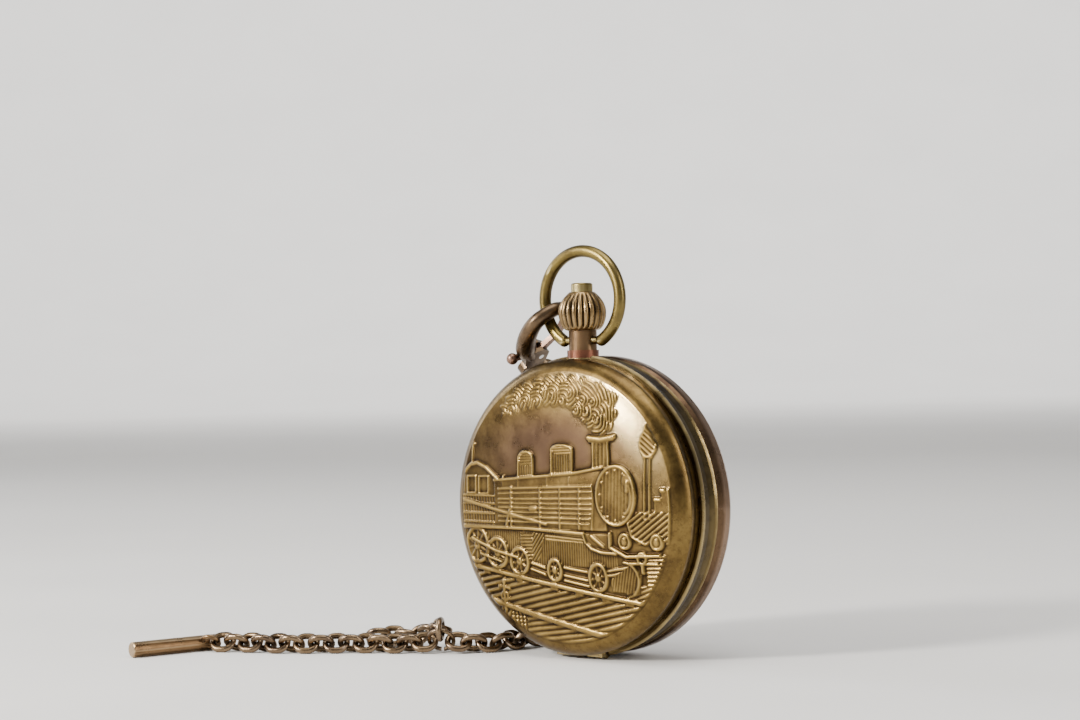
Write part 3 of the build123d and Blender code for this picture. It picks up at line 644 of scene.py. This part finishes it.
def lid_profile():
    """Radius and depth from the front's centre out over the rim and back in behind it, in millimetres."""
    front_r = np.linspace(0.12, RELIEF_R, RELIEF_RINGS)
    outside = smooth_line([(RELIEF_R, dome_y(RELIEF_R)), (21.8, -4.05), (22.5, -3.4), (22.95, -2.6),
                           (23.0, -2.2), (22.86, -1.5), (22.64, -1.0), (22.6, -0.6), (22.6, -0.05)], 5)[1:]
    hollow = smooth_line([(21.65, -0.05), (21.65, -1.4), (21.6, -2.5), (20.6, -3.45), (18.6, -3.95),
                          (14, -4.4), (8, -4.7), (0.3, LID_BACK_Y)], 5)
    return np.vstack([np.stack([front_r, dome_y(front_r)], -1), outside, hollow])


def make_lid():
    """The profile turned about the case's axis, with the relief raised on its front."""
    profile = lid_profile()
    turns = np.linspace(0, 2 * math.pi, AROUND, endpoint=False)
    radius, depth = profile[:, 0][:, None], profile[:, 1][:, None]
    x, z = radius * np.cos(turns), radius * np.sin(turns)
    y = np.broadcast_to(depth, x.shape).copy()
    front = np.zeros(x.shape, bool)
    front[:RELIEF_RINGS] = True
    y = np.where(front, y - sampled(HEIGHT, x, z), y)
    hinge = (np.abs(x) < HINGE_GAP_HALF) & (z + CASE_Z < HINGE_GAP_TOP)
    y = np.where(hinge, np.minimum(y, HINGE_GAP_Y), y)
    middle_y = dome_y(0) - sampled(HEIGHT, [0.0], [0.0])[0]
    verts = np.stack([x, y, z + CASE_Z], -1).reshape(-1, 3)
    verts = np.vstack([verts, [(0, middle_y, CASE_Z), (0, LID_BACK_Y, CASE_Z)]]) * MM
    rings = len(profile)
    centre, back = rings * AROUND, rings * AROUND + 1
    last = (rings - 1) * AROUND
    faces = ring_faces(rings, AROUND)
    faces += [(centre, (j + 1) % AROUND, j) for j in range(AROUND)]
    faces += [(last + j, last + (j + 1) % AROUND, back) for j in range(AROUND)]
    lid = piece("embossed_lid", verts, faces, LID, "lid")
    on_front = np.append(front.reshape(-1), [True, False])
    mark_lid(lid, np.append(x.reshape(-1), [0, 0]), np.append(z.reshape(-1), [0, 0]), on_front)
    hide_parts("front_cover")


def mark_lid(lid, x, z, on_front):
    """Says for each point how hollow, raised and brown it is, and where the painted highlight and polish sit,
    for the lid's material.
    """
    fine = sampled(FINE_RELIEF, x, z)
    height = sampled(HEIGHT, x, z)
    brown = np.exp(-(((x + 2) / 15) ** 2 + ((z - 8.5) / 6.5) ** 2) ** 2)
    far, turn = np.hypot(x, z), np.degrees(np.arctan2(z, x))
    # painted highlight: a bright, polished spot on the smooth part of the upper right shoulder
    shoulder = np.exp(-((far - 19.0) / 2.8) ** 2 - ((turn - 55) / 28) ** 2)
    fields = {
        "hollow": np.clip(-fine / 0.10, 0, 1) * on_front,
        "ridge": np.clip((fine - 0.015) / 0.11, 0, 1) * on_front * np.clip(height / 0.12, 0, 1),
        "patina": np.clip(brown * sampled(SKY, x, z) * 0.95, 0, 1) * on_front,
        "polish_and_highlight": shoulder * np.clip(1 - height / 0.06, 0, 1) * on_front,
    }
    for name, values in fields.items():
        lid.data.attributes.new(name, "FLOAT", "POINT").data.foreach_set("value", values.astype(np.float32))


make_lid()


def rod(name, start, end, radius, material, body):
    """Bevelled round rod between two points, in millimetres."""
    around, bevel = 40, 0.08
    start, end = Vector(start), Vector(end)
    axis = (end - start).normalized()
    side = axis.orthogonal().normalized()
    other = axis.cross(side)
    length = (end - start).length
    stations = [(0, radius * 0.02), (0, radius - bevel), (bevel, radius), (length - bevel, radius),
                (length, radius - bevel), (length, radius * 0.02)]
    verts = []
    for at, r in stations:
        for j in range(around):
            t = 2 * math.pi * j / around
            verts.append((start + axis * at + side * (r * math.cos(t)) + other * (r * math.sin(t))) * MM)
    return piece(name, verts, ring_faces(len(stations), around), material, body)


def make_lid_knuckles():
    """The lid's two hinge barrels with the webs that carry them."""
    radius, inner, outer = 0.75, 1.56, 4.5
    for i, (x0, x1) in enumerate(((-outer, -inner), (inner, outer))):
        barrel = rod(f"lid_knuckle_{i + 1}", (x0, 0, radius), (x1, 0, radius), radius, BAND, "lid")
        corners = [(x, y, z) for x in (x0, x1) for y in (-1.3, -0.3) for z in (0.3, 1.85)]
        faces = [(0, 1, 3, 2), (4, 6, 7, 5), (0, 4, 5, 1), (2, 3, 7, 6), (0, 2, 6, 4), (1, 5, 7, 3)]
        web = piece(f"lid_web_{i + 1}", np.array(corners) * MM, faces, BAND, "lid", smooth=False)


make_lid_knuckles()


# ---- crown ------------------------------------------------------------------------
def make_crown():
    """Melon crown: rounded ribs between fine grooves, with a ring above and below."""
    centre_y, centre_z, ribs, around = 1.2, CASE_Z + 30.4, 22, 528
    outer = smooth_line([(2.45, -3.0), (2.9, -2.75), (3.3, -2.2), (3.62, -1.3), (3.75, -0.4), (3.68, 0.5),
                         (3.36, 1.35), (2.9, 2.05), (2.4, 2.6), (2.1, 2.9)], 5)
    verts, grooves = [], []
    stations = [(0.86, -3.03, 0.0), (2.3, -3.03, 0.0)] + [(r, z, 1.0) for r, z in outer]
    stations += [(1.95, 3.0, 0.0), (1.76, 2.98, 0.0), (1.76, 1.4, 0.0)]
    for r, z, ribbed in stations:
        fade = ribbed * min(1.0, max(0.0, (2.85 - abs(z)) / 0.5))
        for j in range(around):
            t = 2 * math.pi * j / around
            rib = abs(math.sin(ribs * t / 2)) ** 0.7
            radius = r * (1 - 0.12 * fade * (1 - rib))
            grooves.append(fade * min(1.0, 1.5 * (1 - rib)))
            x, y = radius * math.cos(t), centre_y + radius * math.sin(t)
            verts.append((x * MM, y * MM, (centre_z + z) * MM))
    crown = piece("ribbed_crown", verts, ring_faces(len(stations), around), CROWN, "crown")
    crown.data.attributes.new("hollow", "FLOAT", "POINT").data.foreach_set("value", grooves)
    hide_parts("crown")


make_crown()


# ---- clasp -------------------------------------------------------------------------
def make_claw():
    """The clasp's claw is a thick crescent that thins towards the hook."""
    hook = Vector(next(j for j in frame["joints"] if j["name"] == "clasp_swing")["pos_m"])
    drop, lean = math.radians(48), math.radians(22)
    outward, back = Vector((-math.sin(drop), 0, -math.cos(drop))), Vector((0, 1, 0))
    along = outward * math.cos(lean) + back * math.sin(lean)
    over = back * math.cos(lean) - outward * math.sin(lean)
    side = along.cross(over)
    path = smooth_line([(9.3, -0.5), (8.0, -1.35), (6.0, -2.5), (2.5, -3.2), (-0.7, -2.5), (-2.35, 0.2),
                        (-1.9, 1.9)], 14)
    turn = np.gradient(path, axis=0)
    turn /= np.linalg.norm(turn, axis=1)[:, None]
    t = np.linspace(0, 1, len(path))
    flat = np.interp(t, (0, 0.15, 0.35, 0.55, 0.75, 0.9, 1), (0.7, 1.5, 1.72, 1.5, 1.2, 1.07, 0.9))
    wide = np.interp(t, (0, 0.15, 0.35, 0.55, 0.75, 0.9, 1), (0.9, 1.3, 1.4, 1.3, 1.12, 1.07, 0.9))
    around, verts = 40, []
    for (cs, cv), (ts, tv), a, b in zip(path, turn, flat, wide):
        for j in range(around):
            u = 2 * math.pi * j / around
            n = a * math.cos(u)
            place = hook + (along * (cs - tv * n) + over * (cv + ts * n) + side * (b * math.sin(u))) * MM
            verts.append(place)
    last = (len(path) - 1) * around
    faces = ring_faces(len(path), around)
    faces += [tuple(range(around - 1, -1, -1)), tuple(range(last, last + around))]
    piece("clasp_claw", verts, faces, CLASP, "clasp")


make_claw()


# ---- dial print ----------------------------------------------------------------------
STROKES = {
    "I": [((0, -1), (0, 1), 0.16)],
    "V": [((-0.55, 1), (0, -1), 0.17), ((0.55, 1), (0, -1), 0.08)],
    "X": [((-0.55, 1), (0.55, -1), 0.17), ((0.55, 1), (-0.55, -1), 0.08)],
}
NUMERAL_WIDTH = {"I": 0.5, "V": 1.25, "X": 1.25}
ROMAN = ["XII", "I", "II", "III", "IIII", "V", "VI", "VII", "VIII", "IX", "X", "XI"]
NUMERAL_R = 14.1
NUMERAL_HALF = 1.35
TRACK_IN = 16.35
TRACK_OUT = 17.55
TICK_END = 17.5


def make_dial_print():
    """Roman numerals and a minute track, in thin raised black paint."""
    verts, faces = [], []
    y_front, y_back = -0.93, -0.895

    def bar(ax, az, bx, bz, half):
        dx, dz = bx - ax, bz - az
        n = math.hypot(dx, dz)
        ox, oz = -dz / n * half, dx / n * half
        at = len(verts)
        for y in (y_front, y_back):
            for cx, cz in ((ax + ox, az + oz), (ax - ox, az - oz), (bx - ox, bz - oz), (bx + ox, bz + oz)):
                verts.append((cx * MM, y * MM, (cz + CASE_Z) * MM))
        faces.extend([(at, at + 1, at + 2, at + 3), (at + 7, at + 6, at + 5, at + 4)])
        faces.extend((at + k, at + 4 + k, at + 4 + (k + 1) % 4, at + (k + 1) % 4) for k in range(4))

    for i, text in enumerate(ROMAN):
        a = math.radians(30 * i)
        up = (math.sin(a), math.cos(a))
        across = (math.cos(a), -math.sin(a))
        total = sum(NUMERAL_WIDTH[c] for c in text)
        at = -total / 2
        for c in text:
            middle = at + NUMERAL_WIDTH[c] / 2
            for (sx, sz), (ex, ez), half in STROKES[c]:
                points = []
                for px, pz in ((sx, sz), (ex, ez)):
                    u, v = middle + px, NUMERAL_R + pz * NUMERAL_HALF
                    points += [up[0] * v + across[0] * u, up[1] * v + across[1] * u]
                bar(*points, half)
            at += NUMERAL_WIDTH[c]
    for i in range(60):
        a = math.radians(6 * i)
        inner, half = (16.4, 0.12) if i % 5 == 0 else (16.9, 0.05)
        bar(math.sin(a) * inner, math.cos(a) * inner, math.sin(a) * TICK_END, math.cos(a) * TICK_END, half)
    for radius in (TRACK_IN, TRACK_OUT):
        for i in range(120):
            a, b = math.radians(3 * i), math.radians(3 * i + 3.05)
            bar(math.sin(a) * radius, math.cos(a) * radius, math.sin(b) * radius, math.cos(b) * radius, 0.045)
    numerals = piece("dial_print", verts, faces, BLACK, "case", smooth=False)


make_dial_print()


# ---- stage and light ---------------------------------------------------------------
def make_floor():
    """Pale floor that curves up far away, so no edge shows from any side."""
    around, flat_r, curve_r, below = 96, 2.0, 1.2, 0.00002
    line = [(0.001, 0.0)] + [(flat_r * i / 4, 0.0) for i in range(1, 5)]
    for t in range(10, 91, 10):
        a = math.radians(t)
        line.append((flat_r + curve_r * math.sin(a), curve_r - curve_r * math.cos(a)))
    line.append((flat_r + curve_r, 1.5))
    verts = []
    for r, z in line:
        for j in range(around):
            t = 2 * math.pi * j / around
            verts.append((r * math.cos(t), r * math.sin(t), z - below))
    mesh = bpy.data.meshes.new("floor")
    mesh.from_pydata(verts, [], ring_faces(len(line), around) + [tuple(range(around - 1, -1, -1))])
    mesh.shade_smooth()
    mesh.materials.append(plain("floor paper", (0.72, 0.71, 0.69), 0.8, 8.0, shade=0.97, bump=0.02))
    floor = bpy.data.objects.new("floor", mesh)
    bpy.context.scene.collection.objects.link(floor)


def make_light(name, place, aim, size, power, colour=(1, 1, 1)):
    data = bpy.data.lights.new(name, "AREA")
    data.shape = "RECTANGLE"
    data.size, data.size_y = size
    data.energy = power
    data.color = colour
    obj = bpy.data.objects.new(name, data)
    obj.location = place
    obj.rotation_mode = "QUATERNION"
    obj.rotation_quaternion = (Vector(aim) - Vector(place)).to_track_quat("-Z", "Y")
    bpy.context.scene.collection.objects.link(obj)


make_floor()
AIM = (0, 0, 0.03)
make_light("key", (-0.205, -0.527, 0.30), AIM, (0.10, 0.10), 6.0, (1.0, 0.97, 0.92))
make_light("glint", (-0.310, -0.550, 0.140), AIM, (0.06, 0.06), 1.0, (1.0, 0.97, 0.93))
make_light("front", (-0.5, -0.7, 0.6), AIM, (0.5, 0.5), 3.5, (1.0, 0.97, 0.92))
make_light("overhead", (0.1, -0.1, 0.9), AIM, (0.6, 0.6), 6.5, (1.0, 0.98, 0.95))
make_light("right", (0.75, 0.1, 0.35), AIM, (0.10, 0.7), 3.0, (1.0, 0.96, 0.92))
make_light("left", (-0.8, -0.1, 0.3), AIM, (0.2, 0.6), 2.5, (0.95, 0.97, 1.0))
make_light("backdrop", (-1.1, 1.3, 1.4), (-2.0, 2.4, 0.35), (2.6, 0.8), 60.0, (1.0, 0.99, 0.98))
WORLD = bpy.data.worlds.new("world")
WORLD.use_nodes = True
WORLD.node_tree.nodes["Background"].inputs["Color"].default_value = (0.82, 0.83, 0.85, 1)
WORLD.node_tree.nodes["Background"].inputs["Strength"].default_value = 0.42
bpy.context.scene.world = WORLD
